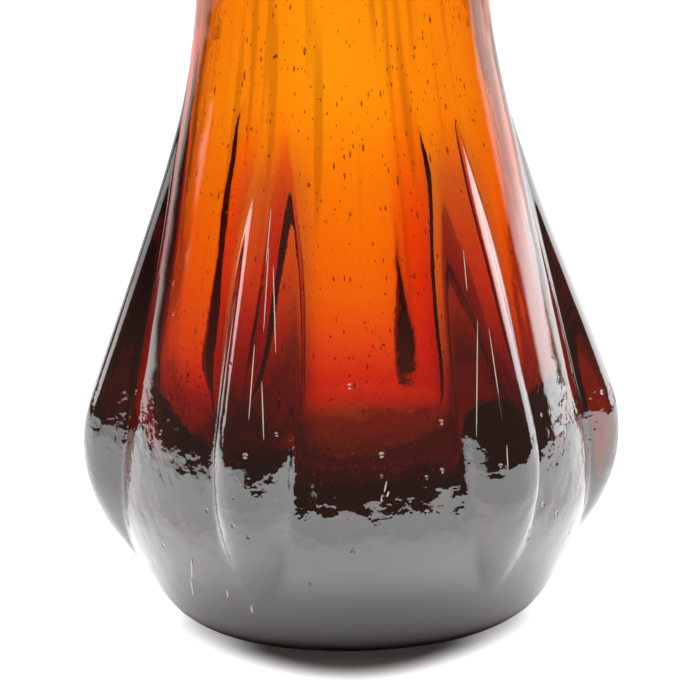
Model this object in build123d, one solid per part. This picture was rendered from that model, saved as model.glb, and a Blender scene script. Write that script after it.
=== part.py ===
"""Hand-blown gourd vase: a heavy glass vessel with six applied ribs seated on its outer wall.

Millimetres, +Z up. The origin is the centre of the foot, on the surface that the vase stands on,
and the front of the vase faces -Y.
"""
import os
from math import pi, sin

from build123d import *

# Outside of the vessel: the outline swells and narrows between these heights
FOOT_RADIUS = 45.5
BELLY_RADIUS = 84.2
BELLY_HEIGHT = 53.0
WAIST_RADIUS = 49.5
WAIST_HEIGHT = 256.0
BULB_RADIUS = 60.0
BULB_HEIGHT = 303.0
MOUTH_RADIUS = 44.0
TOTAL_HEIGHT = 342.0

# Wall and cavity
FLOOR_HEIGHT = 30.0
CAVITY_RADIUS = 68.5
CAVITY_HEIGHT = 86.0
WAIST_WALL = 4.8
BULB_WALL = 5.0
RIM_WALL = 5.0

# Ground hollow under the foot
PUNTY_RADIUS = 26.0
PUNTY_DEPTH = 3.0

# Reach of each rounding from its station, as a share of the run or rise between two stations
FOOT_REACH = 0.43
BELLY_REACH_DOWN = 0.3
BELLY_REACH_UP = 0.06
WAIST_REACH_DOWN = 0.19
SWELL_REACH = 0.22
CAVITY_REACH = 0.4

# Ribs: bent canes of hot glass, their ends sunk in the wall at distances along the outline from the foot's edge
RIB_COUNT = 6
FIRST_RIB_ANGLE = -23.5
RIB_RADIUS = 14.6
RIB_START = 36.0
RIB_LENGTH = 163.0
END_DEPTH = 15.0
BEND_OUT = 1.6
BEND_RISE = 7.6
BEND_REACH = 21.0


def point(radius, height):
    """A point of a profile in the XZ plane."""
    return Vector(radius, 0, height)


def rounded(start, start_corner, end_corner, end):
    """Two arcs and their common tangent line, laid in the corners between two stations."""
    direction = (end_corner - start_corner).normalized()
    line_start = start_corner + direction * (start_corner - start).length
    line_end = end_corner - direction * (end - end_corner).length
    return [
        TangentArc(start, line_start, tangent=start_corner - start),
        Line(line_start, line_end),
        TangentArc(line_end, end, tangent=direction),
    ]


def swell(lower, upper, reach_lower, reach_upper):
    """The outline between two stations, upright at both."""
    rise = Vector(0, 0, upper.Z - lower.Z)
    return rounded(lower, lower + rise * reach_lower, upper - rise * reach_upper, upper)


def bowl(floor_edge, station, reach_floor, reach_station):
    """The outline from the edge of a level floor to an upright station."""
    run = Vector(station.X - floor_edge.X, 0, 0)
    rise = Vector(0, 0, station.Z - floor_edge.Z)
    return rounded(floor_edge, floor_edge + run * reach_floor, station - rise * reach_station, station)


# Stations of the outside, from the foot to the start of the rounded rim
rim_height = TOTAL_HEIGHT - RIM_WALL / 2
foot = point(FOOT_RADIUS, 0)
belly = point(BELLY_RADIUS, BELLY_HEIGHT)
waist = point(WAIST_RADIUS, WAIST_HEIGHT)
bulb = point(BULB_RADIUS, BULB_HEIGHT)
mouth = point(MOUTH_RADIUS, rim_height)
flank = [
    *bowl(foot, belly, FOOT_REACH, BELLY_REACH_DOWN),
    *swell(belly, waist, BELLY_REACH_UP, WAIST_REACH_DOWN),
]
outside = [
    *flank,
    *swell(waist, bulb, SWELL_REACH, SWELL_REACH),
    *swell(bulb, mouth, SWELL_REACH, SWELL_REACH),
]

# Stations of the cavity, from the floor to the rim
cavity_floor = point(0, FLOOR_HEIGHT)
cavity_belly = point(CAVITY_RADIUS, CAVITY_HEIGHT)
cavity_waist = point(WAIST_RADIUS - WAIST_WALL, WAIST_HEIGHT)
cavity_bulb = point(BULB_RADIUS - BULB_WALL, BULB_HEIGHT)
cavity_mouth = point(MOUTH_RADIUS - RIM_WALL, rim_height)
inside = [
    *bowl(cavity_floor, cavity_belly, CAVITY_REACH, CAVITY_REACH),
    *swell(cavity_belly, cavity_waist, BELLY_REACH_UP, WAIST_REACH_DOWN),
    *swell(cavity_waist, cavity_bulb, SWELL_REACH, SWELL_REACH),
    *swell(cavity_bulb, cavity_mouth, SWELL_REACH, SWELL_REACH),
]


def make_vessel():
    """The blown body: foot, wall, fire-polished rim and cavity turned from one profile."""
    rim = ThreePointArc(mouth, point(MOUTH_RADIUS - RIM_WALL / 2, TOTAL_HEIGHT), cavity_mouth)
    punty_side = point(PUNTY_RADIUS * sin(pi / 4), PUNTY_DEPTH * (1 - sin(pi / 4) ** 2))
    punty = ThreePointArc(point(0, PUNTY_DEPTH), punty_side, point(PUNTY_RADIUS, 0))
    standing_ring = Line(point(PUNTY_RADIUS, 0), foot)
    axis_line = Line(cavity_floor, point(0, PUNTY_DEPTH))
    profile = make_face([axis_line, punty, standing_ring, *outside, rim, *inside])
    return revolve(profile, axis=Axis.Z)


def make_body_envelope():
    """Everything within the outside of the vessel, which a rib's seat is cut to."""
    closing = Polyline(mouth, point(0, rim_height), point(0, 0), foot)
    return revolve(make_face([*outside, closing]), axis=Axis.Z)


def sunk_point(distance):
    """An end of a rib's axis, sunk square below the wall at a distance along the outline."""
    path = Wire(flank)
    on_wall = path.position_at(distance, position_mode=PositionMode.LENGTH)
    upward = path.tangent_at(distance, position_mode=PositionMode.LENGTH)
    return on_wall + point(-upward.Z, upward.X) * END_DEPTH


def make_rib(envelope):
    """One applied rib on the +X side: a round cane bent over the belly, its seat cut to the vessel's outside."""
    upper_end = sunk_point(RIB_START + RIB_LENGTH)
    lower_end = sunk_point(RIB_START)
    corner = belly + point(BEND_OUT, BEND_RISE)
    downward = (corner - upper_end).normalized()
    inward = (lower_end - corner).normalized()
    bend_start = corner - downward * BEND_REACH
    bend_end = corner + inward * BEND_REACH
    bend = TangentArc(bend_start, bend_end, tangent=downward)
    axis = Wire([Line(upper_end, bend_start), bend, Line(bend_end, lower_end)])
    section = Plane(upper_end, z_dir=downward) * Circle(RIB_RADIUS)
    return sweep(section, path=axis) - envelope


os.makedirs("parts", exist_ok=True)
export_step(make_vessel(), "parts/vessel.step")

# Ribs are counted from the front, -Y, towards +X
rib = make_rib(make_body_envelope())
for number in range(RIB_COUNT):
    turn = FIRST_RIB_ANGLE - 90 + number * 360 / RIB_COUNT
    export_step(rib.rotate(Axis.Z, turn), f"parts/rib_{number + 1}.step")
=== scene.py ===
"""Amber gourd vase of seeded, hand-blown glass with six applied ribs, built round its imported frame."""
import random
from math import asin, atan, atan2, ceil, cos, pi, radians, sin, sqrt, tan

import bmesh
import bpy
from bpy.props import FloatProperty, FloatVectorProperty, IntProperty, PointerProperty
from mathutils import Matrix, Vector, noise
from mathutils.bvhtree import BVHTree


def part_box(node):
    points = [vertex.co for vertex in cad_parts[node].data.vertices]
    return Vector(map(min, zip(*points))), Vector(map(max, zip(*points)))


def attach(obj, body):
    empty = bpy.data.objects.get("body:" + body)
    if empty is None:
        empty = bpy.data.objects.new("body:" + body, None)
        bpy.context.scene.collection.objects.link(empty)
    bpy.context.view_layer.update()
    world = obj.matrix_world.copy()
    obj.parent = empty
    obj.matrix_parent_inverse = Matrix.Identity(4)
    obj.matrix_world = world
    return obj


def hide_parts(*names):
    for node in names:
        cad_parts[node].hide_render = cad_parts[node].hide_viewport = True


bl_info = {
    "name": "Gourd Vase",
    "version": (1, 0, 0),
    "blender": (4, 5, 0),
    "location": "View3D > Sidebar > Vase",
    "description": "Builds a ribbed gourd vase of seeded amber glass and a white studio round it",
    "category": "Object",
}

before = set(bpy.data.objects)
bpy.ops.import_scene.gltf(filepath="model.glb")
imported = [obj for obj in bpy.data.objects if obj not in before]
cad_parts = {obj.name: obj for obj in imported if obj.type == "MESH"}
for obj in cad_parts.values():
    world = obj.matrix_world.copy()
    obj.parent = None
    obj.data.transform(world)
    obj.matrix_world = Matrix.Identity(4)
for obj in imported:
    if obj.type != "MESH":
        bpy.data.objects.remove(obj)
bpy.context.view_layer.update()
VESSEL_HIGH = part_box("vessel")[1]
RIB_COUNT = 6
RIB_NODES = [f"rib_{number}" for number in range(1, RIB_COUNT + 1)]
MILLIMETRE = 0.001


def distance(name, description, default):
    """A distance property in metres."""
    return FloatProperty(name=name, description=description, default=default, unit="LENGTH", precision=4)


def angle(name, description, degrees):
    """An angle property."""
    return FloatProperty(name=name, description=description, default=radians(degrees), subtype="ANGLE")


def colour(name, description, default):
    """A colour property."""
    return FloatVectorProperty(name=name, description=description, default=default, size=3, min=0, max=1,
                               subtype="COLOR")


class VaseOutline(bpy.types.PropertyGroup):
    """Stations of the outline, from the foot to the mouth."""

    foot_radius: distance("Foot radius", "Edge of the standing ring", 0.0455)
    belly_radius: distance("Belly radius", "Widest part of the body", VESSEL_HIGH[0])
    belly_height: distance("Belly height", "Height of the widest part", 0.053)
    waist_radius: distance("Waist radius", "Narrowest part of the neck", 0.0495)
    waist_height: distance("Waist height", "Height of the narrowest part", 0.256)
    bulb_radius: distance("Bulb radius", "Upper swell", 0.060)
    bulb_height: distance("Bulb height", "Height of the upper swell", 0.303)
    mouth_radius: distance("Mouth radius", "Outside of the mouth", 0.044)
    total_height: distance("Total height", "Top of the rim", VESSEL_HIGH[2])
    floor_height: distance("Floor height", "Inside floor above the foot", 0.030)
    cavity_radius: distance("Cavity radius", "Widest part of the inside", 0.0685)
    cavity_height: distance("Cavity height", "Height of the widest part of the inside", 0.086)
    waist_wall: distance("Waist wall", "Glass at the waist", 0.0048)
    rim_wall: distance("Rim wall", "Glass at the bulb and the rim", 0.005)
    punty_radius: distance("Punty radius", "Ground hollow under the foot", 0.026)
    punty_depth: distance("Punty depth", "Depth of the ground hollow", 0.003)


class VaseRibs(bpy.types.PropertyGroup):
    """Canes of hot glass that are laid over the belly."""

    first_angle: angle("First rib", "Turn of the first rib from the front", -23.5)
    radius: distance("Cane radius", "Radius of the round cane", 0.0146)
    start: distance("Start", "Lower end, along the outline from the foot's edge", 0.036)
    length: distance("Length", "Distance along the outline between the ends", 0.163)
    end_depth: distance("End depth", "How deep the ends are sunk", 0.015)
    bend_out: distance("Bend out", "Corner of the bend outside the belly", 0.0016)
    bend_rise: distance("Bend rise", "Corner of the bend above the belly", 0.0076)
    bend_reach: distance("Bend reach", "Length of the bend on each side of its corner", 0.021)
    toe: distance("Toe", "Length over which a rib's blunt lower end rises", 0.010)
    trail_height: distance("Trail height", "Ridge that each cane leaves above its upper end", 0.0009)
    trail_top: distance("Trail top", "Where the ridge ends, along the outline", 0.245)
    column_share: FloatProperty(name="Column share", description="Share of the columns that lie on a rib",
                                default=0.58, min=0, max=1, subtype="FACTOR")


class VaseGlass(bpy.types.PropertyGroup):
    """Amber glass and the unevenness of blowing."""

    clear_colour: colour("Clear colour", "Light that a little of the glass lets through",
                         (0.968, 0.783, 0.0))
    # Painted shade: the ribs and the base take this dark colour for the dark room and the shaded table seen
    # through them, and the darker upright streaks take it too
    shade_and_streak_colour: colour("Struck colour", "Skin of the ribs, which strikes darker when reheated",
                          (0.06, 0.08, 0.085))
    density: FloatProperty(name="Density", description="Strength of the colour per metre",
                           default=720.0, min=0)
    index: FloatProperty(name="Index", description="Index of refraction", default=1.5, min=1, max=3)
    skin_index: FloatProperty(name="Skin index", description="Index of the polished skin",
                              default=2.3, min=1, max=3)
    wave: distance("Wave", "Slow unevenness of the outside", 0.0003)
    cord: distance("Cord", "Upright streaks of the inside", 0.0005)
    columns: IntProperty(name="Columns", description="Mesh columns round the vase, a multiple of six",
                         default=288)
    row_step: distance("Row step", "Distance between mesh rows on the ribs", 0.0022)


class VaseSeeds(bpy.types.PropertyGroup):
    """Small drawn-out bubbles in the wall."""

    batches: IntProperty(name="Batches", description="Number of batches of seeds", default=50, min=0)
    batch_size: IntProperty(name="Batch size", description="Seeds in each batch", default=60, min=1)
    radius: distance("Radius", "Radius of a usual seed", 0.00022)
    drawn: FloatProperty(name="Drawn", description="Length of a usual seed over its width",
                         default=3.0, min=1)
    cover: distance("Cover", "Least glass between a seed and either face of the wall", 0.0008)
    seed: IntProperty(name="Seed", description="Start of the random order", default=7)


class VaseStage(bpy.types.PropertyGroup):
    """White table, soft light and the camera of the photograph."""

    camera_distance: distance("Camera distance", "From the vase's axis", 1.25)
    camera_rise: angle("Camera rise", "Angle above the table", 11.0)
    camera_roll: angle("Camera roll", "Lean of the camera", -1.2)
    aim_height: distance("Aim height", "Height of the middle of the picture on the axis", 0.0967)
    table_half: distance("Table half width", "From the vase to either side of the table", 1.1)
    table_front: distance("Table front", "From the vase to the front edge of the table", 0.42)
    table_back: distance("Table back", "From the vase to the back edge of the table", 3.0)
    lens: FloatProperty(name="Lens", description="Focal length in millimetres on a 36 mm frame",
                        default=181.0)
    lamp_strength: FloatProperty(name="Lamp strength", description="Light from above", default=3.1, min=0)
    lamp_spread: angle("Lamp spread", "Breadth of the light from above", 100.0)


GROUPS = {
    "vase_outline": VaseOutline,
    "vase_ribs": VaseRibs,
    "vase_glass": VaseGlass,
    "vase_seeds": VaseSeeds,
    "vase_stage": VaseStage,
}


def ease(low, high, value):
    """A smooth step from nought at low to one at high."""
    part = min(max((value - low) / (high - low), 0.0), 1.0)
    return part * part * (3 - 2 * part)


def blend(a, b, part):
    """A value between two others."""
    return a + (b - a) * part


# Outline

# Reach of each rounding from its station, as a share of the run or rise between two stations
FOOT_REACH = 0.43
BELLY_REACH_DOWN = 0.3
BELLY_REACH_UP = 0.06
WAIST_REACH_DOWN = 0.19
SWELL_REACH = 0.22
CAVITY_REACH = 0.4

# Distance between mesh rows away from the ribs, over that on the ribs
PUNTY_ROWS = 3
RING_ROWS = 2
UPPER_ROWS = 1.2
RIM_ROWS = 0.6
INSIDE_ROWS = 1.7


def station(radius, height):
    """A point of the outline, which is drawn on the XZ plane."""
    return Vector((radius, 0, height))


def run_line(bm, tip, end, step):
    """Draws the outline straight on from its tip."""
    count = max(1, ceil((end - tip.co).length / step))
    move = (end - tip.co) / count
    for _ in range(count):
        tip = bmesh.ops.extrude_vert_indiv(bm, verts=[tip])["verts"][0]
        bmesh.ops.translate(bm, verts=[tip], vec=move)
    return tip


def run_arc(bm, tip, corner, onward, step):
    """Spins the outline's tip round a corner, until it runs in the onward direction."""
    start = tip.co.copy()
    reach = (corner - start).length
    inward = (corner - start) / reach
    turn = atan2(inward.x * onward.z - inward.z * onward.x, inward.dot(onward))
    radius = reach / tan(turn / 2)
    centre = start + Vector((-inward.z, 0, inward.x)) * radius
    count = max(2, ceil(abs(radius * turn) / step))
    spun = bmesh.ops.spin(bm, geom=[tip], cent=centre, axis=(0, 1, 0), dvec=(0, 0, 0), angle=-turn,
                          steps=count, use_merge=False, use_normal_flip=False, use_duplicate=False)
    return spun["geom_last"][0]


def run_round(bm, tip, start_corner, end_corner, end, step):
    """Two arcs and the line that touches both, up to a station."""
    onward = (end_corner - start_corner).normalized()
    tip = run_arc(bm, tip, start_corner, onward, step)
    tip = run_line(bm, tip, end_corner - onward * (end - end_corner).length, step)
    return run_arc(bm, tip, end_corner, (end - end_corner).normalized(), step)


def run_swell(bm, tip, end, reach_start, reach_end, step):
    """The outline to the next station, upright at both."""
    start = tip.co.copy()
    rise = Vector((0, 0, end.z - start.z))
    return run_round(bm, tip, start + rise * reach_start, end - rise * reach_end, end, step)


def draw_underside(bm, o, step):
    """Starts the section with the ground hollow and the standing ring."""
    tip = bm.verts.new(station(0, o.punty_depth))
    hollow = 2 * atan(o.punty_depth / o.punty_radius)
    corner = station(o.punty_radius / (1 + cos(hollow)), o.punty_depth)
    tip = run_arc(bm, tip, corner, Vector((cos(hollow), 0, -sin(hollow))), PUNTY_ROWS * step)
    tip.co = station(o.punty_radius, 0)
    return run_line(bm, tip, station(o.foot_radius, 0), RING_ROWS * step)


def draw_outside(bm, tip, o, step):
    """Goes on from the foot's edge to the start of the rounded rim."""
    foot = tip.co.copy()
    belly = station(o.belly_radius, o.belly_height)
    waist = station(o.waist_radius, o.waist_height)
    bulb = station(o.bulb_radius, o.bulb_height)
    mouth = station(o.mouth_radius, o.total_height - o.rim_wall / 2)
    run = Vector((belly.x - foot.x, 0, 0))
    rise = Vector((0, 0, belly.z))
    upper = UPPER_ROWS * step
    tip = run_round(bm, tip, foot + run * FOOT_REACH, belly - rise * BELLY_REACH_DOWN, belly, step)
    tip = run_swell(bm, tip, waist, BELLY_REACH_UP, WAIST_REACH_DOWN, step)
    tip = run_swell(bm, tip, bulb, SWELL_REACH, SWELL_REACH, upper)
    return run_swell(bm, tip, mouth, SWELL_REACH, SWELL_REACH, upper)


def draw_rim(bm, tip, o, step):
    """Rounds the rim over to the inside."""
    half = o.rim_wall / 2
    outer = tip.co + Vector((0, 0, half))
    inner = outer + Vector((-2 * half, 0, 0))
    tip = run_arc(bm, tip, outer, Vector((-1, 0, 0)), RIM_ROWS * step)
    return run_arc(bm, tip, inner, Vector((0, 0, -1)), RIM_ROWS * step)


def draw_inside(bm, tip, o, step):
    """Ends the section with the inside wall, down to the middle of its floor."""
    bulb = station(o.bulb_radius - o.rim_wall, o.bulb_height)
    waist = station(o.waist_radius - o.waist_wall, o.waist_height)
    cavity = station(o.cavity_radius, o.cavity_height)
    floor = station(0, o.floor_height)
    drop = Vector((0, 0, floor.z - cavity.z))
    across = Vector((-cavity.x, 0, 0))
    tip = run_swell(bm, tip, bulb, SWELL_REACH, SWELL_REACH, step)
    tip = run_swell(bm, tip, waist, SWELL_REACH, SWELL_REACH, step)
    tip = run_swell(bm, tip, cavity, WAIST_REACH_DOWN, BELLY_REACH_UP, step)
    run_round(bm, tip, cavity + drop * CAVITY_REACH, floor - across * CAVITY_REACH, floor, step)


def draw_outline(bm, o, step):
    """Draws the whole section, and returns the numbers of the outside's first and last points."""
    tip = draw_underside(bm, o, step)
    first = len(bm.verts) - 1
    tip = draw_outside(bm, tip, o, step)
    last = len(bm.verts) - 1
    tip = draw_rim(bm, tip, o, step)
    draw_inside(bm, tip, o, INSIDE_ROWS * step)
    return first, last


class WallRow:
    """One row of the outside wall: its place, its outward direction and its distance along the outline."""

    def __init__(self, place, outward, along):
        self.place = place
        self.outward = outward
        self.along = along


def wall_rows(bm, first, last):
    """The rows of the outside, read from the drawn outline."""
    bm.verts.ensure_lookup_table()
    places = [bm.verts[index].co.copy() for index in range(first, last + 1)]
    rows = []
    along = 0.0
    for index, place in enumerate(places):
        before = places[max(index - 1, 0)]
        after = places[min(index + 1, len(places) - 1)]
        way = (after - before).normalized()
        along += (place - before).length
        rows.append(WallRow(place, Vector((way.z, 0, -way.x)), along))
    return rows


def row_at(rows, along):
    """The row nearest to a distance along the outline."""
    return min(rows, key=lambda row: abs(row.along - along))


# Ribs

# Distance between the points of a cane's axis
AXIS_STEP = 0.001

# Distances along the outline from a rib's lower end: where the toe starts, where a thicker cane is full,
# and where the trail rises and starts to sink
TOE_START = 0.002
SWELL_FULL = 0.03
TRAIL_RISE = (0.06, 0.11)
TRAIL_SINK = 0.12

# Softness of the step from the cane to its trail, and the least half width of a band of mesh columns
TRAIL_SOFTNESS = 0.0006
LEAST_HALF_WIDTH = 0.0045

# Where the columns even out, along the outline from a rib's lower end and from the trail's top
EVEN_BELOW = (-0.012, -0.036)
EVEN_ABOVE = (-0.01, 0.03)

# Where a rib's polish and painted shade fade: beside its edge, over its crest's height and, for the shade,
# up the vase
EDGE_FADE = (1.3, 1.02)
CREST_FADE = (0.0002, 0.002)
TINT_CHANGE = (0.10, 0.14)

# Crowding of the columns towards the ribs, and the part of the outline where the creases are softened
VALLEY_CROWDING = 1.15
CREASE_PART = (0.022, 0.235)
CREASE_ROUNDS = 4

# Small differences between the ribs, listed one by one: turn in degrees, shift along the outline and swell
# in millimetres, how dark the painted shade on the rib is low down and near its upper end, and its polish
RIB_HAND = (
    (0.0, 0.0, 0.0, 0.90, 0.35, 1.0),
    (0.6, 0.0, 0.2, 0.90, 0.35, 1.0),
    (0.0, -4.0, 0.9, 1.0, 0.97, 0.25),
    (-1.0, 1.5, 0.0, 0.90, 0.35, 1.0),
    (1.2, -1.0, 0.3, 0.90, 0.35, 1.0),
    (0.0, -1.5, 0.2, 0.98, 0.97, 0.25),
)


def cane_axis(rows, outline, ribs):
    """Points along the bent axis of a cane, from its upper end to its lower end."""
    upper = row_at(rows, ribs.start + ribs.length)
    lower = row_at(rows, ribs.start)
    bm = bmesh.new()
    tip = bm.verts.new(upper.place - upper.outward * ribs.end_depth)
    end = lower.place - lower.outward * ribs.end_depth
    corner = station(outline.belly_radius + ribs.bend_out, outline.belly_height + ribs.bend_rise)
    downward = (corner - tip.co).normalized()
    inward = (end - corner).normalized()
    tip = run_line(bm, tip, corner - downward * ribs.bend_reach, AXIS_STEP)
    tip = run_arc(bm, tip, corner, inward, AXIS_STEP)
    run_line(bm, tip, end, AXIS_STEP)
    points = [vert.co.copy() for vert in bm.verts]
    bm.free()
    return points


class RibForm:
    """Height and half width of a rib at each row, on the tangent plane of the wall."""

    def __init__(self, rows, axis, ribs):
        self.rows = rows
        self.radius = ribs.radius
        self.depths = [min((row.place - point).length for point in axis) for row in rows]
        self.ribs = ribs

    def depth(self, along):
        """Depth of the cane's axis under the wall."""
        rows = self.rows
        if along <= rows[0].along:
            return self.depths[0]
        for index in range(1, len(rows)):
            if rows[index].along >= along:
                low = rows[index - 1].along
                part = (along - low) / (rows[index].along - low)
                return blend(self.depths[index - 1], self.depths[index], part)
        return self.depths[-1]

    def crest(self, along, swell):
        """Height of the rib over the wall, with the thin trail above it."""
        ribs = self.ribs
        start = ribs.start
        toe = start + TOE_START
        cane = self.radius - self.depth(along) + swell * ease(start, start + SWELL_FULL, along)
        trail = ribs.trail_height * ease(start + TRAIL_RISE[0], start + TRAIL_RISE[1], along)
        trail *= 1 - ease(start + TRAIL_SINK, ribs.trail_top, along)
        close = max(0.0, 1 - abs(cane - trail) / (4 * TRAIL_SOFTNESS))
        high = max(max(cane, trail) + TRAIL_SOFTNESS * close ** 2, 0.0)
        return high * ease(toe, toe + ribs.toe, along)

    def half_width(self, along, crest, radius, even):
        """Half width of the rib where it meets the wall, and an even share beyond its ends."""
        natural = sqrt(max(2 * self.radius * crest - crest * crest, 0.0))
        height = crest + natural ** 2 / (2 * radius)
        natural = sqrt(max(self.radius ** 2 - (self.radius - height) ** 2, 0.0))
        narrow = max(natural, LEAST_HALF_WIDTH)
        start, top = self.ribs.start, self.ribs.trail_top
        below = ease(start + EVEN_BELOW[0], start + EVEN_BELOW[1], along)
        above = ease(top + EVEN_ABOVE[0], top + EVEN_ABOVE[1], along)
        return blend(narrow, even, max(below, above))


def rib_place(row, crest, half, part, side, centre):
    """A place on the round back of a rib, at a part of the way from its crest to its edge."""
    radius = row.place.x
    drop = radius - sqrt(radius * radius - half * half)
    bow = 2 * atan((crest + drop) / half)
    bend = half / sin(bow)
    lean = bow * part
    aside = bend * sin(lean) * side
    wall = sqrt(radius * radius - aside * aside)
    lift = bend * (cos(lean) - cos(bow)) + radius - drop - wall
    out = wall + lift * row.outward.x
    x = out * cos(centre) - aside * sin(centre)
    y = out * sin(centre) + aside * cos(centre)
    return Vector((x, y, row.place.z + lift * row.outward.z))


def lay_ribs(bm, rows, first, form, ribs):
    """Moves the outside wall's vertices on to the ribs, with more columns on them than between them."""
    row_layer = bm.verts.layers.int["row"]
    rib_layer = bm.verts.layers.float["rib"]
    painted_shade_layer = bm.verts.layers.float["painted_shade"]
    sector = 2 * pi / RIB_COUNT
    cut = ribs.column_share
    for vert in bm.verts:
        index = vert[row_layer] - first
        if not 0 < index < len(rows):
            continue
        row = rows[index]
        radius = row.place.x
        turned = atan2(vert.co.y, vert.co.x) + pi / 2 - ribs.first_angle
        number = round(turned / sector)
        across = (turned - number * sector) / (sector / 2)
        turn, shift, swell, low, high, polish = RIB_HAND[number % RIB_COUNT]
        centre = number * sector + ribs.first_angle - pi / 2 + radians(turn)
        along = row.along - shift * MILLIMETRE
        crest = form.crest(along, swell * MILLIMETRE)
        half = form.half_width(along, crest, radius, radius * sin(cut * sector / 2))
        side = 1 if across >= 0 else -1
        part = abs(across)
        on_rib = ease(cut * EDGE_FADE[0], cut * EDGE_FADE[1], part) * ease(*CREST_FADE, crest)
        vert[rib_layer] = on_rib * polish
        # Painted shade on the rib, from its value low down to its value near the upper end
        vert[painted_shade_layer] = on_rib * blend(low, high, ease(*TINT_CHANGE, row.place.z))
        if part <= cut:
            vert.co = rib_place(row, crest, half, part / cut, side, centre)
        else:
            edge = asin(half / radius)
            past = (part - cut) / (1 - cut)
            free = sector / 2 - edge - side * radians(turn)
            spot = centre + side * (edge + free * past ** VALLEY_CROWDING)
            vert.co = Vector((radius * cos(spot), radius * sin(spot), row.place.z))


def soften_creases(bm, rows, first):
    """Rounds the hollow line where each rib meets the wall."""
    row_layer = bm.verts.layers.int["row"]
    low, high = CREASE_PART
    band = []
    for vert in bm.verts:
        index = vert[row_layer] - first
        if 0 < index < len(rows) and low < rows[index].along < high:
            band.append(vert)
    for _ in range(CREASE_ROUNDS):
        bmesh.ops.smooth_vert(bm, verts=band, factor=0.5, use_axis_x=True, use_axis_y=True, use_axis_z=True)


# Blown unevenness

# Scale of each noise and the place where it starts
SLOW_WAVE = (22, Vector((3.1, 7.7, 1.3)))
QUICK_WAVE = (95, Vector((9.2, 0.4, 5.8)))
SLOW_CORD = (38, Vector((1.7, 4.4, 8.1)))
QUICK_CORD = (120, Vector((6.3, 2.8, 0.9)))

# Share of the quick noise in each, the flattening that draws a cord upwards, and where the cords start
QUICK_WAVE_SHARE = 0.16
QUICK_CORD_SHARE = 0.4
CORD_FLATTENING = 0.08
CORD_START = (0.0, 0.03)

# Rows above the foot's edge that stay even, so that the vase stands
STILL_ROWS = 4


def uneven(place, form, quick_form, quick_share):
    """A slow noise with a share of a quick one."""
    scale, start = form
    quick_scale, quick_start = quick_form
    return noise.noise(place * scale + start) + quick_share * noise.noise(place * quick_scale + quick_start)


def blow_uneven(bm, first, last, glass):
    """The slow waves of the outside and the upright cords of the inside that blowing leaves."""
    row_layer = bm.verts.layers.int["row"]
    bm.normal_update()
    moves = []
    for vert in bm.verts:
        row = vert[row_layer]
        place = vert.co
        if row <= first + STILL_ROWS:
            continue
        if row <= last:
            move = glass.wave * uneven(place, SLOW_WAVE, QUICK_WAVE, QUICK_WAVE_SHARE)
        else:
            flat = Vector((place.x, place.y, place.z * CORD_FLATTENING))
            off_axis = ease(*CORD_START, sqrt(place.x ** 2 + place.y ** 2))
            move = glass.cord * uneven(flat, SLOW_CORD, QUICK_CORD, QUICK_CORD_SHARE) * off_axis
        moves.append((vert, vert.normal * move))
    for vert, move in moves:
        vert.co += move


def write_piece(name, bm, *materials):
    """Makes an object of a finished bmesh, smooth and at the origin."""
    mesh = bpy.data.meshes.new(name)
    bm.to_mesh(mesh)
    bm.free()
    mesh.shade_smooth()
    for material in materials:
        mesh.materials.append(material)
    piece = bpy.data.objects.new(name, mesh)
    bpy.context.scene.collection.objects.link(piece)
    return piece


# Nodes

# Least divisor where a distance from the axis divides
NEAR_AXIS = 0.001


def new_group(name, inputs, outputs):
    """An empty shader node group with float sockets, and its two ends."""
    group = bpy.data.node_groups.new(name, "ShaderNodeTree")
    for label, default in inputs:
        socket = group.interface.new_socket(label, in_out="INPUT", socket_type="NodeSocketFloat")
        socket.default_value = default
    for label in outputs:
        group.interface.new_socket(label, in_out="OUTPUT", socket_type="NodeSocketFloat")
    return group, group.nodes.new("NodeGroupInput"), group.nodes.new("NodeGroupOutput")


def new_material(name):
    """A material, its node tree and its shader."""
    material = bpy.data.materials.new(name)
    material.use_nodes = True
    return material, material.node_tree, material.node_tree.nodes["Principled BSDF"]


def maths(tree, operation, *values):
    """A Math node on sockets or plain numbers."""
    node = tree.nodes.new("ShaderNodeMath")
    node.operation = operation
    for socket, value in zip(node.inputs, values):
        if isinstance(value, bpy.types.NodeSocket):
            tree.links.new(value, socket)
        else:
            socket.default_value = value
    return node.outputs[0]


def chain(tree, operation, values):
    """One value from several, by Math nodes in a row."""
    result = values[0]
    for value in values[1:]:
        result = maths(tree, operation, result, value)
    return result


def product(tree, *values):
    """All values multiplied."""
    return chain(tree, "MULTIPLY", values)


def total(tree, *values):
    """All values added."""
    return chain(tree, "ADD", values)


def largest(tree, *values):
    """The largest of the values."""
    return chain(tree, "MAXIMUM", values)


def opposite(tree, mask):
    """One where a mask is nought, and nought where it is one."""
    return maths(tree, "SUBTRACT", 1.0, mask)


def remap(tree, value, band, to_low=0.0, to_high=1.0):
    """A smooth Map Range of a value over a band."""
    node = tree.nodes.new("ShaderNodeMapRange")
    node.interpolation_type = "SMOOTHSTEP"
    tree.links.new(value, node.inputs["Value"])
    low, high = band
    for label, number in (("From Min", low), ("From Max", high), ("To Min", to_low), ("To Max", to_high)):
        node.inputs[label].default_value = number
    return node.outputs["Result"]


def fall(tree, value, band):
    """One before a band and nought after it."""
    return remap(tree, value, band, 1.0, 0.0)


def noise_at(tree, place, scale, detail):
    """A noise texture on a place."""
    node = tree.nodes.new("ShaderNodeTexNoise")
    tree.links.new(place, node.inputs["Vector"])
    node.inputs["Scale"].default_value = scale
    node.inputs["Detail"].default_value = detail
    node.inputs["Roughness"].default_value = 0.4
    return node.outputs["Fac"]


def split(tree, place):
    """The x, y and z of a place or a direction."""
    node = tree.nodes.new("ShaderNodeSeparateXYZ")
    tree.links.new(place, node.inputs[0])
    return node.outputs


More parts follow.
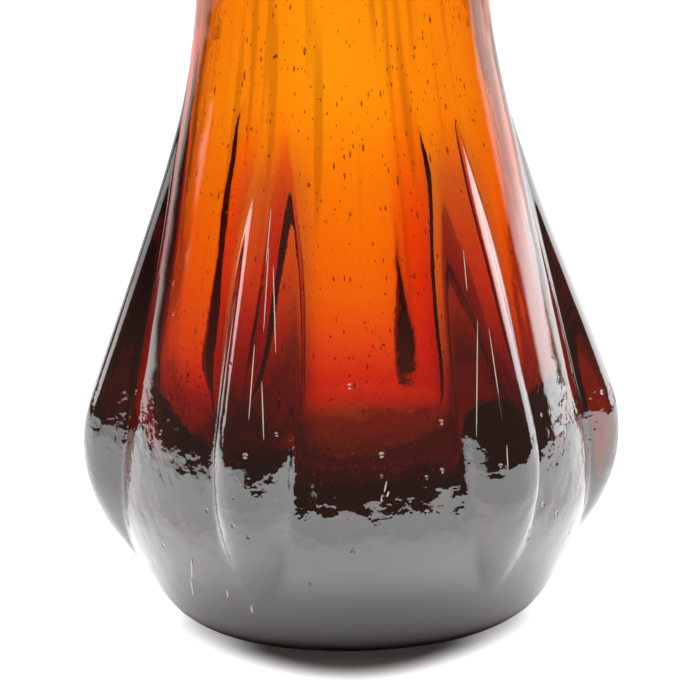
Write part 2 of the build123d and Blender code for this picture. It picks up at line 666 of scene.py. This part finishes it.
def on_object(tree):
    """The place on the object."""
    return tree.nodes.new("ShaderNodeTexCoord").outputs["Object"]


def from_axis(tree, x, y):
    """Distance from the vase's axis."""
    return maths(tree, "SQRT", total(tree, product(tree, x, x), product(tree, y, y)))


def layer(tree, name):
    """A value that the mesh holds at each vertex."""
    node = tree.nodes.new("ShaderNodeAttribute")
    node.attribute_name = name
    return node.outputs["Fac"]


def back_of_face(tree):
    """One where a face is seen from its back."""
    return tree.nodes.new("ShaderNodeNewGeometry").outputs["Backfacing"]


def mix_colours(tree, factor, first, second):
    """The first colour where a factor is nought, and the second where it is one."""
    node = tree.nodes.new("ShaderNodeMix")
    node.data_type = "RGBA"
    tree.links.new(factor, node.inputs["Factor"])
    node.inputs["A"].default_value = (*first, 1)
    node.inputs["B"].default_value = (*second, 1)
    return node.outputs["Result"]


# Glass

WHITE = (1, 1, 1)
GROUND_FROM_BELOW = (0.30, 0.13, 0.05)
# Painted shade: seen through the glass, the ground underside is dark for the table's shade under it
GROUND_PAINTED_SHADE = (0.02, 0.008, 0.004)

# Chill ripples and open pits: heights where they end, what is left above, and what is left of the ripples
# near the foot
RIPPLE_TOP = (0.072, 0.10)
RIPPLE_FOOT = (0.035, 0.055)
PIT_TOP = (0.08, 0.11)
LEFT_ABOVE = 0.05
LEFT_AT_FOOT = 0.4

# Cells per metre, edge of a pit in its cell, and the chance above which a cell holds one
RIPPLE_SCALE = 130.0
RIPPLE_DETAIL = 3.0
PIT_SCALE = 200.0
PIT_EDGE = (0.05, 0.22)
PIT_CHANCE = 0.90

# Darker upright streaks: how often, how long, how strong, and the height where they start
STREAK_SCALE = 13.0
STREAK_DETAIL = 1.0
STREAK_FLATTENING = 0.6
STREAK_EDGE = (0.58, 0.72)
STREAK_STRENGTH = 0.5
STREAK_FOOT = (0.09, 0.15)

# Heights up to which the base gets painted shade and the skin is polished, and the polished flank towards +X
BASE_PAINTED_SHADE = (0.025, 0.05)
POLISH_TOP = (0.09, 0.15)
FLANK_SIDE = (0.054, 0.064)
FLANK_TOP = (0.14, 0.18)


def make_skin_group():
    """Height of the fire-polished skin: chill ripples and sparse open pits, in metres."""
    group, start, end = new_group("chilled_skin", (("Ripple", 0.0008), ("Pit", 0.0008)), ("Height",))
    place = on_object(group)
    _, _, z = split(group, place)
    chill = product(group, remap(group, z, RIPPLE_TOP, 1.0, LEFT_ABOVE),
                    remap(group, z, RIPPLE_FOOT, LEFT_AT_FOOT, 1.0))
    ripple = noise_at(group, place, RIPPLE_SCALE, RIPPLE_DETAIL)
    cells = group.nodes.new("ShaderNodeTexVoronoi")
    cells.inputs["Scale"].default_value = PIT_SCALE
    group.links.new(place, cells.inputs["Vector"])
    chance = group.nodes.new("ShaderNodeSeparateColor")
    group.links.new(cells.outputs["Color"], chance.inputs["Color"])
    kept = maths(group, "GREATER_THAN", chance.outputs["Red"], PIT_CHANCE)
    hollow = fall(group, cells.outputs["Distance"], PIT_EDGE)
    pits = product(group, hollow, kept, remap(group, z, PIT_TOP, 1.0, LEFT_ABOVE))
    wave = product(group, ripple, chill, start.outputs["Ripple"])
    dent = product(group, pits, start.outputs["Pit"])
    group.links.new(maths(group, "SUBTRACT", wave, dent), end.inputs["Height"])
    return group


def skin_normal(tree, outside):
    """The normal of the outside with its chilled skin."""
    skin = tree.nodes.new("ShaderNodeGroup")
    skin.node_tree = make_skin_group()
    bump = tree.nodes.new("ShaderNodeBump")
    bump.inputs["Distance"].default_value = 1.0
    tree.links.new(product(tree, skin.outputs["Height"], outside), bump.inputs["Height"])
    return bump.outputs["Normal"]


def upright_streaks(tree, x, y, z):
    """Streaks that run up the wall, by the turn round the axis and a shortened height."""
    away = largest(tree, from_axis(tree, x, y), NEAR_AXIS)
    drawn = tree.nodes.new("ShaderNodeCombineXYZ")
    tree.links.new(maths(tree, "DIVIDE", x, away), drawn.inputs["X"])
    tree.links.new(maths(tree, "DIVIDE", y, away), drawn.inputs["Y"])
    tree.links.new(product(tree, z, STREAK_FLATTENING), drawn.inputs["Z"])
    streak = noise_at(tree, drawn.outputs["Vector"], STREAK_SCALE, STREAK_DETAIL)
    return remap(tree, streak, STREAK_EDGE, 0.0, STREAK_STRENGTH)


def make_amber_glass(glass):
    """Clear glass coloured by its depth, with painted shade on the ribs and the base and a bright polished
    skin outside.
    """
    material, tree, shader = new_material("amber_glass")
    shader.inputs["Roughness"].default_value = 0.0
    shader.inputs["IOR"].default_value = glass.index
    shader.inputs["Transmission Weight"].default_value = 1.0
    shader.inputs["Coat IOR"].default_value = glass.skin_index
    shader.inputs["Coat Roughness"].default_value = 0.02
    x, y, z = split(tree, on_object(tree))
    outside = layer(tree, "outside")
    front = opposite(tree, back_of_face(tree))
    normal = skin_normal(tree, outside)
    tree.links.new(normal, shader.inputs["Normal"])
    tree.links.new(normal, shader.inputs["Coat Normal"])
    streak = product(tree, upright_streaks(tree, x, y, z), outside, remap(tree, z, STREAK_FOOT))
    # Painted shade: the ribs, darkest on the side lobes, and the base are mixed towards a dark colour for
    # the dark room and the shaded table seen through them; the darker upright streaks use the same colour
    rib_shade_and_streaks = product(tree, largest(tree, layer(tree, "painted_shade"), streak), front)
    painted_shade = largest(tree, rib_shade_and_streaks, fall(tree, z, BASE_PAINTED_SHADE))
    tree.links.new(mix_colours(tree, painted_shade, WHITE, glass.shade_and_streak_colour), shader.inputs["Base Color"])
    flank = product(tree, remap(tree, x, FLANK_SIDE), fall(tree, z, FLANK_TOP))
    polished = largest(tree, fall(tree, z, POLISH_TOP), flank, layer(tree, "rib"))
    tree.links.new(product(tree, outside, front, polished), shader.inputs["Coat Weight"])
    depth = tree.nodes.new("ShaderNodeVolumeAbsorption")
    depth.inputs["Color"].default_value = (*glass.clear_colour, 1)
    depth.inputs["Density"].default_value = glass.density
    tree.links.new(depth.outputs[0], tree.nodes["Material Output"].inputs["Volume"])
    return material


def make_ground_foot():
    """The ground underside: matt, pale amber from below, and dark with painted shade where it is seen
    through the glass.
    """
    material, tree, shader = new_material("ground_foot")
    shader.inputs["Roughness"].default_value = 0.7
    tint = mix_colours(tree, back_of_face(tree), GROUND_FROM_BELOW, GROUND_PAINTED_SHADE)
    tree.links.new(tint, shader.inputs["Base Color"])
    return material


class VASE_OT_glass_body(bpy.types.Operator):
    """Blow the vessel, lay the six ribs over its belly and fuse them into one body of glass"""

    bl_idname = "vase.glass_body"
    bl_label = "Glass Body"

    def execute(self, context):
        scene = context.scene
        outline, ribs, glass = scene.vase_outline, scene.vase_ribs, scene.vase_glass
        bm = bmesh.new()
        first, last = draw_outline(bm, outline, glass.row_step)
        row_layer = bm.verts.layers.int.new("row")
        for index, vert in enumerate(bm.verts):
            vert[row_layer] = index
        rows = wall_rows(bm, first, last)
        form = RibForm(rows, cane_axis(rows, outline, ribs), ribs)
        bmesh.ops.spin(bm, geom=bm.verts[:] + bm.edges[:], cent=(0, 0, 0), axis=(0, 0, 1), dvec=(0, 0, 0),
                       angle=2 * pi, steps=glass.columns, use_merge=True, use_normal_flip=False,
                       use_duplicate=False)
        bmesh.ops.remove_doubles(bm, verts=bm.verts[:], dist=1e-6)
        bmesh.ops.recalc_face_normals(bm, faces=bm.faces[:])
        for name in ("rib", "painted_shade", "outside"):
            bm.verts.layers.float.new(name)
        lay_ribs(bm, rows, first, form, ribs)
        soften_creases(bm, rows, first)
        blow_uneven(bm, first, last, glass)
        row_layer = bm.verts.layers.int["row"]
        outside = bm.verts.layers.float["outside"]
        for vert in bm.verts:
            vert[outside] = 1.0 if vert[row_layer] <= last else 0.0
        for face in bm.faces:
            face.material_index = int(all(vert[row_layer] <= first for vert in face.verts))
        bm.verts.layers.int.remove(row_layer)
        piece = write_piece("glass_body", bm, make_amber_glass(glass), make_ground_foot())
        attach(piece, "root")
        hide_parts("vessel", *RIB_NODES)
        return {"FINISHED"}


# Seeds

# Distance between the wall's points, spread of the seeds' sizes, and how much less or more one is drawn out
WALL_STEP = 0.003
SEED_SPREAD = 0.35
DRAWN_RANGE = (0.5, 1.6)


class WallDepth:
    """Places on the outside of the plain wall, with the depth of glass behind each."""

    def __init__(self, outline):
        bm = bmesh.new()
        first, last = draw_outline(bm, outline, WALL_STEP)
        self.rows = wall_rows(bm, first, last)
        inside = [vert.co.copy() for vert in list(bm.verts)[last + 1:]]
        bm.free()
        self.depths = [min((row.place - point).length for point in inside) for row in self.rows]
        self.areas = [row.place.x for row in self.rows]

    def pick(self, chance):
        """A place at random, even over the wall."""
        index = chance.choices(range(1, len(self.rows) - 1), weights=self.areas[1:-1])[0]
        row = self.rows[index]
        return row.place, row.outward, self.depths[index]


def make_seed(bm, place, outward, inset, radius, drawn, turn):
    """One bubble, drawn out along the wall."""
    upward = Vector((-outward.z, 0, outward.x))
    along = Matrix((outward, Vector((0, 1, 0)), upward)).transposed().to_4x4()
    size = Matrix.Diagonal((radius, radius, radius * drawn, 1))
    spot = Matrix.Translation(place - outward * inset)
    bmesh.ops.create_uvsphere(bm, u_segments=4, v_segments=2, radius=1.0,
                              matrix=Matrix.Rotation(turn, 4, "Z") @ spot @ along @ size)


def scatter_seeds(wall, seeds, chance):
    """A mesh with one batch of seeds, their faces turned towards the air in them."""
    bm = bmesh.new()
    for _ in range(seeds.batch_size):
        place, outward, depth = wall.pick(chance)
        radius = seeds.radius * chance.lognormvariate(0, SEED_SPREAD)
        inset = blend(seeds.cover + radius, depth - seeds.cover - radius, chance.random())
        drawn = seeds.drawn * chance.uniform(*DRAWN_RANGE)
        make_seed(bm, place, outward, inset, radius, drawn, chance.uniform(0, 2 * pi))
    bmesh.ops.reverse_faces(bm, faces=bm.faces[:])
    mesh = bpy.data.meshes.new("seeds")
    bm.to_mesh(mesh)
    bm.free()
    return mesh


def find_glass_body(context):
    """The glass body, which has to be there before anything is added to it."""
    piece = context.scene.objects.get("glass_body")
    if piece is None:
        raise RuntimeError("The glass body comes first")
    return piece


def take_mesh(body, mesh):
    """Adds a mesh to a body and removes it."""
    body.from_mesh(mesh)
    bpy.data.meshes.remove(mesh)


def write_back(piece, body):
    """Writes a changed body to its piece."""
    body.to_mesh(piece.data)
    body.free()
    piece.data.shade_smooth()


class VASE_OT_seeds(bpy.types.Operator):
    """Scatter small drawn-out bubbles through the wall of the glass body"""

    bl_idname = "vase.seeds"
    bl_label = "Seeds"

    def execute(self, context):
        piece = find_glass_body(context)
        outline, seeds = context.scene.vase_outline, context.scene.vase_seeds
        wall = WallDepth(outline)
        chance = random.Random(seeds.seed)
        body = bmesh.new()
        body.from_mesh(piece.data)
        for _ in range(seeds.batches):
            take_mesh(body, scatter_seeds(wall, seeds, chance))
        write_back(piece, body)
        return {"FINISHED"}


# Painted highlights

# Painted highlights, pale marks for the light that seeds and pits near the skin catch, where the photograph
# shows
# them one by one: turn from the front in degrees, height, half width and half length in millimetres, and
# lean in degrees
PAINTED_HIGHLIGHTS = (
    (-22.5, 148, 0.18, 10, 0),
    (-21.5, 131, 0.18, 15, 0),
    (-19, 125, 0.2, 15, 0),
    (-22.5, 102, 0.2, 13, 0),
    (-19.5, 93, 0.2, 10, 0),
    (30.5, 100, 0.2, 20, 0),
    (34.5, 101, 0.18, 16, 0),
    (33.5, 74, 0.2, 4.5, 0),
    (32.5, 135, 0.18, 7, 0),
    (-44, 32.5, 0.42, 5, -22),
    (-47, 25, 0.36, 5, -24),
    (-34.5, 25, 0.3, 2, -16),
    (-28.5, 20, 0.34, 2, -12),
    (7.5, 66, 0.26, 2, -14),
    (8, 63.5, 0.32, 1, -24),
    (6.5, 62, 0.24, 1, -8),
)

# Thickness of a mark over its width, a distance from the axis that is clear of the glass, and the place of
# the marks' material among those of the glass body
MARK_FLATNESS = 0.4
CLEAR_OF_GLASS = 0.2
MARK_MATERIAL = 2


def make_highlight_paint():
    """Pale matt colour of a painted highlight."""
    material, _, shader = new_material("painted_highlight")
    shader.inputs["Base Color"].default_value = (0.80, 0.70, 0.56, 1)
    shader.inputs["Roughness"].default_value = 0.6
    return material


def make_mark(bm, skin, turn, height, wide, half, lean):
    """One thin painted highlight that lies on the skin along the wall."""
    outward = Vector((sin(radians(turn)), -cos(radians(turn)), 0))
    start = outward * CLEAR_OF_GLASS + Vector((0, 0, height * MILLIMETRE))
    place, normal, _, _ = skin.ray_cast(start, -outward)
    if place is None:
        raise RuntimeError("A tool mark misses the glass body")
    across = normal.cross(Vector((0, 0, 1))).normalized()
    on_skin = Matrix((normal, across, normal.cross(across))).transposed().to_4x4()
    leaning = Matrix.Rotation(radians(lean), 4, "X")
    thick = wide * MARK_FLATNESS
    size = Matrix.Diagonal((thick * MILLIMETRE, wide * MILLIMETRE, half * MILLIMETRE, 1))
    made = bmesh.ops.create_uvsphere(bm, u_segments=6, v_segments=8, radius=1.0,
                                     matrix=Matrix.Translation(place) @ on_skin @ leaning @ size)
    for face in {face for vert in made["verts"] for face in vert.link_faces}:
        face.material_index = MARK_MATERIAL


class VASE_OT_painted_highlights(bpy.types.Operator):
    """Lay pale painted highlights, for light caught by seeds and pits, on the skin of the glass body"""

    bl_idname = "vase.tool_marks"
    # The marks that this lays are painted highlights
    bl_label = "Tool Marks"

    def execute(self, context):
        piece = find_glass_body(context)
        body = bmesh.new()
        body.from_mesh(piece.data)
        skin = BVHTree.FromBMesh(body)
        marks = bmesh.new()
        for mark in PAINTED_HIGHLIGHTS:
            make_mark(marks, skin, *mark)
        mesh = bpy.data.meshes.new("marks")
        marks.to_mesh(mesh)
        marks.free()
        take_mesh(body, mesh)
        piece.data.materials.append(make_highlight_paint())
        write_back(piece, body)
        return {"FINISHED"}


# Studio

# Turns from straight behind the vase, in degrees, over which each part of the studio comes in
WALL_EDGE = (45, 36)
CARD_EDGE = (66, 60)
PANE_EDGE = (73, 68)
ROOM_EDGE = (85, 55)
BACK_GLOW_EDGE = (42, 20)
FRONT_GLOW_EDGE = (110, 150)

# Sideways and upward parts of a direction, over which the card, the sill and the pane start or end
CARD_SIDE = (0.0, 0.1)
CARD_FOOT = (-0.05, -0.02)
SILL_SIDE = (-0.5, -0.35)
SILL_TOP = (-0.01, 0.02)
PANE_SIDE = (-0.75, -0.65)
PANE_FOOT = (0.082, 0.105)

# Strength of each, where white paper is one: the dim room is weaker on matt things than in a mirror
CARD_STRENGTH = 1.8
PANE_STRENGTH = 1.6
SIDE_GLOW = 0.35
FRONT_GLOW = 0.6
ROOM_FRONT = 0.05
ROOM_BACK = 0.2
ROOM_MIRRORED = 0.12
ROOM_ON_MATT = 0.05
ROOM_COLOUR = (1.0, 0.5, 0.42)

# Table: its white, the shade close to the glass, and how much less of it a mirror shows
TABLE_WHITE = (0.92, 0.92, 0.92)
TABLE_SHADE = (0.10, 0.06, 0.045)
MIRROR_DIMMING = 0.13

# Contact shade: middle, half width and depth of its bulge at the front, the bulge's fade along y, and
# the inset of the shade that is seen directly
BULGE_MIDDLE = -0.001
BULGE_HALF = 0.060
BULGE_DEPTH = 0.0265
BULGE_FADE = (-0.05, -0.02)
SHADE_INSET = 0.007

# Distances from the axis over which the shade ends, the seen white comes in, and a mirror's white comes
# and goes
SHADE_EDGE = (0.046, 0.075)
SEEN_INNER = (0.046, 0.082)
SEEN_OUTER = (0.07, 0.115)
MIRROR_INNER = (0.056, 0.112)
MIRROR_OUTER = (0.11, 0.22)

# Light that the table adds there
SHADE_LIFT = 0.03
SEEN_LIFT = 0.9
OUTER_LIFT = 0.1
MIRROR_LIFT = 0.5

# Camera frame in millimetres, and how far the camera sees
FRAME_WIDTH = 36.0
VIEW_DEPTH = 100.0


def from_behind(tree, x, y):
    """Cosine of the turn from straight behind the vase."""
    return maths(tree, "DIVIDE", y, largest(tree, from_axis(tree, x, y), NEAR_AXIS))


def round_remap(tree, behind, turns, to_low=0.0, to_high=1.0):
    """A smooth change between two turns from straight behind the vase."""
    return remap(tree, behind, [cos(radians(turn)) for turn in turns], to_low, to_high)


def glow_round(tree, behind):
    """Light that comes through the glass from each turn: most from behind, and some from the front."""
    back = round_remap(tree, behind, BACK_GLOW_EDGE, SIDE_GLOW, 1.0)
    front = round_remap(tree, behind, FRONT_GLOW_EDGE, SIDE_GLOW, FRONT_GLOW)
    return largest(tree, back, front)


def make_world():
    """A white wall behind the vase, a card at its right, a sill and a pane at its left, and a dim room."""
    world = bpy.data.worlds.new("studio")
    bpy.context.scene.world = world
    world.use_nodes = True
    world.cycles.sampling_method = "NONE"
    tree = world.node_tree
    back = tree.nodes["Background"]
    path = tree.nodes.new("ShaderNodeLightPath").outputs
    matt = path["Is Diffuse Ray"]
    reflected = path["Is Reflection Ray"]
    x, y, z = split(tree, tree.nodes.new("ShaderNodeTexCoord").outputs["Generated"])
    behind = from_behind(tree, x, y)
    wall = round_remap(tree, behind, WALL_EDGE)
    card = product(tree, round_remap(tree, behind, CARD_EDGE), remap(tree, x, CARD_SIDE),
                   remap(tree, z, CARD_FOOT, 0.0, CARD_STRENGTH))
    sill = product(tree, fall(tree, x, SILL_SIDE), fall(tree, z, SILL_TOP))
    pane = product(tree, round_remap(tree, behind, PANE_EDGE), remap(tree, x, PANE_SIDE, PANE_STRENGTH, 0.0),
                   remap(tree, z, PANE_FOOT))
    bright = largest(tree, wall, pane, card, sill)
    dull = maths(tree, "SUBTRACT", ROOM_MIRRORED, product(tree, matt, ROOM_MIRRORED - ROOM_ON_MATT))
    through = product(tree, path["Is Transmission Ray"], glow_round(tree, behind))
    mirrored = product(tree, reflected, largest(tree, bright, dull))
    soft = product(tree, matt, round_remap(tree, behind, ROOM_EDGE, ROOM_FRONT, ROOM_BACK))
    tree.links.new(total(tree, path["Is Camera Ray"], through, mirrored, soft), back.inputs["Strength"])
    white = largest(tree, opposite(tree, reflected), matt, bright)
    tree.links.new(mix_colours(tree, white, ROOM_COLOUR, WHITE), back.inputs["Color"])


def shade_reach(tree, x, y, away, reflected):
    """Distance from the axis for the contact shade, which bulges to the front where it is seen directly."""
    aside = maths(tree, "DIVIDE", maths(tree, "SUBTRACT", x, BULGE_MIDDLE), BULGE_HALF)
    bulge = largest(tree, opposite(tree, product(tree, aside, aside)), 0.0)
    front = product(tree, bulge, bulge, remap(tree, y, BULGE_FADE, BULGE_DEPTH, 0.0))
    inset = maths(tree, "SUBTRACT", SHADE_INSET, front)
    return total(tree, away, product(tree, opposite(tree, reflected), inset))


def make_white_table():
    """Matt white with a contact shade, dimmer where the glass shows it from the side."""
    material, tree, shader = new_material("white_table")
    shader.inputs["Roughness"].default_value = 1.0
    shader.inputs["Specular IOR Level"].default_value = 0.0
    shader.inputs["Emission Color"].default_value = (*WHITE, 1)
    path = tree.nodes.new("ShaderNodeLightPath").outputs
    reflected = path["Is Reflection Ray"]
    x, y, _ = split(tree, on_object(tree))
    away = from_axis(tree, x, y)
    reach = shade_reach(tree, x, y, away, reflected)
    beside = opposite(tree, glow_round(tree, from_behind(tree, x, y)))
    dim = total(tree, product(tree, beside, path["Is Transmission Ray"]),
                product(tree, reflected, MIRROR_DIMMING))
    shade = largest(tree, dim, fall(tree, reach, SHADE_EDGE))
    tree.links.new(mix_colours(tree, shade, TABLE_WHITE, TABLE_SHADE), shader.inputs["Base Color"])
    near = product(tree, remap(tree, away, MIRROR_INNER), remap(tree, away, MIRROR_OUTER, MIRROR_LIFT, 0.0))
    seen = total(tree, remap(tree, reach, SEEN_INNER, SHADE_LIFT, SEEN_LIFT),
                 remap(tree, reach, SEEN_OUTER, 0.0, OUTER_LIFT))
    lift = total(tree, product(tree, reflected, near), product(tree, path["Is Camera Ray"], seen))
    tree.links.new(lift, shader.inputs["Emission Strength"])
    return material


def make_floor(stage):
    """The table's top."""
    half_depth = (stage.table_front + stage.table_back) / 2
    middle = (stage.table_back - stage.table_front) / 2
    bm = bmesh.new()
    bmesh.ops.create_grid(bm, x_segments=1, y_segments=1, size=1.0)
    bmesh.ops.scale(bm, verts=bm.verts[:], vec=(stage.table_half, half_depth, 1))
    bmesh.ops.translate(bm, verts=bm.verts[:], vec=(0, middle, 0))
    write_piece("white_table", bm, make_white_table())


def make_camera(stage):
    """The camera of the photograph, which looks a little down on the vase."""
    data = bpy.data.cameras.new("camera")
    data.lens = stage.lens
    data.sensor_width = FRAME_WIDTH
    data.clip_end = VIEW_DEPTH
    camera = bpy.data.objects.new("camera", data)
    bpy.context.scene.collection.objects.link(camera)
    away = Vector((0, -cos(stage.camera_rise), sin(stage.camera_rise))) * stage.camera_distance
    place = Vector((0, 0, stage.aim_height)) + away
    turn = (-away).to_track_quat("-Z", "Y").to_matrix() @ Matrix.Rotation(stage.camera_roll, 3, "Z")
    camera.matrix_world = Matrix.Translation(place) @ turn.to_4x4()
    bpy.context.scene.camera = camera


def make_lamp(stage):
    """One broad soft light from straight above."""
    data = bpy.data.lights.new("sky_panel", "SUN")
    data.energy = stage.lamp_strength
    data.angle = stage.lamp_spread
    lamp = bpy.data.objects.new("sky_panel", data)
    bpy.context.scene.collection.objects.link(lamp)


class VASE_OT_stage(bpy.types.Operator):
    """Set the white table, the light and the camera"""

    bl_idname = "vase.stage"
    bl_label = "Stage"

    def execute(self, context):
        stage = context.scene.vase_stage
        context.scene.view_settings.view_transform = "Standard"
        make_world()
        make_floor(stage)
        make_lamp(stage)
        make_camera(stage)
        return {"FINISHED"}


OPERATORS = (VASE_OT_glass_body, VASE_OT_painted_highlights, VASE_OT_seeds, VASE_OT_stage)


class VASE_PT_panel(bpy.types.Panel):
    """Lists the vase's pieces and sizes"""

    bl_idname = "VASE_PT_panel"
    bl_label = "Gourd Vase"
    bl_space_type = "VIEW_3D"
    bl_region_type = "UI"
    bl_category = "Vase"

    def draw(self, context):
        for operator in OPERATORS:
            self.layout.operator(operator.bl_idname)
        for name, group in GROUPS.items():
            box = self.layout.box()
            for label in group.__annotations__:
                box.prop(getattr(context.scene, name), label)


CLASSES = (*GROUPS.values(), *OPERATORS, VASE_PT_panel)


def register():
    for cls in CLASSES:
        bpy.utils.register_class(cls)
    for name, group in GROUPS.items():
        setattr(bpy.types.Scene, name, PointerProperty(type=group))


def unregister():
    for name in GROUPS:
        delattr(bpy.types.Scene, name)
    for cls in reversed(CLASSES):
        bpy.utils.unregister_class(cls)


def main():
    register()
    bpy.ops.vase.glass_body()
    bpy.ops.vase.tool_marks()
    bpy.ops.vase.seeds()
    bpy.ops.vase.stage()


if __name__ == "__main__":
    main()
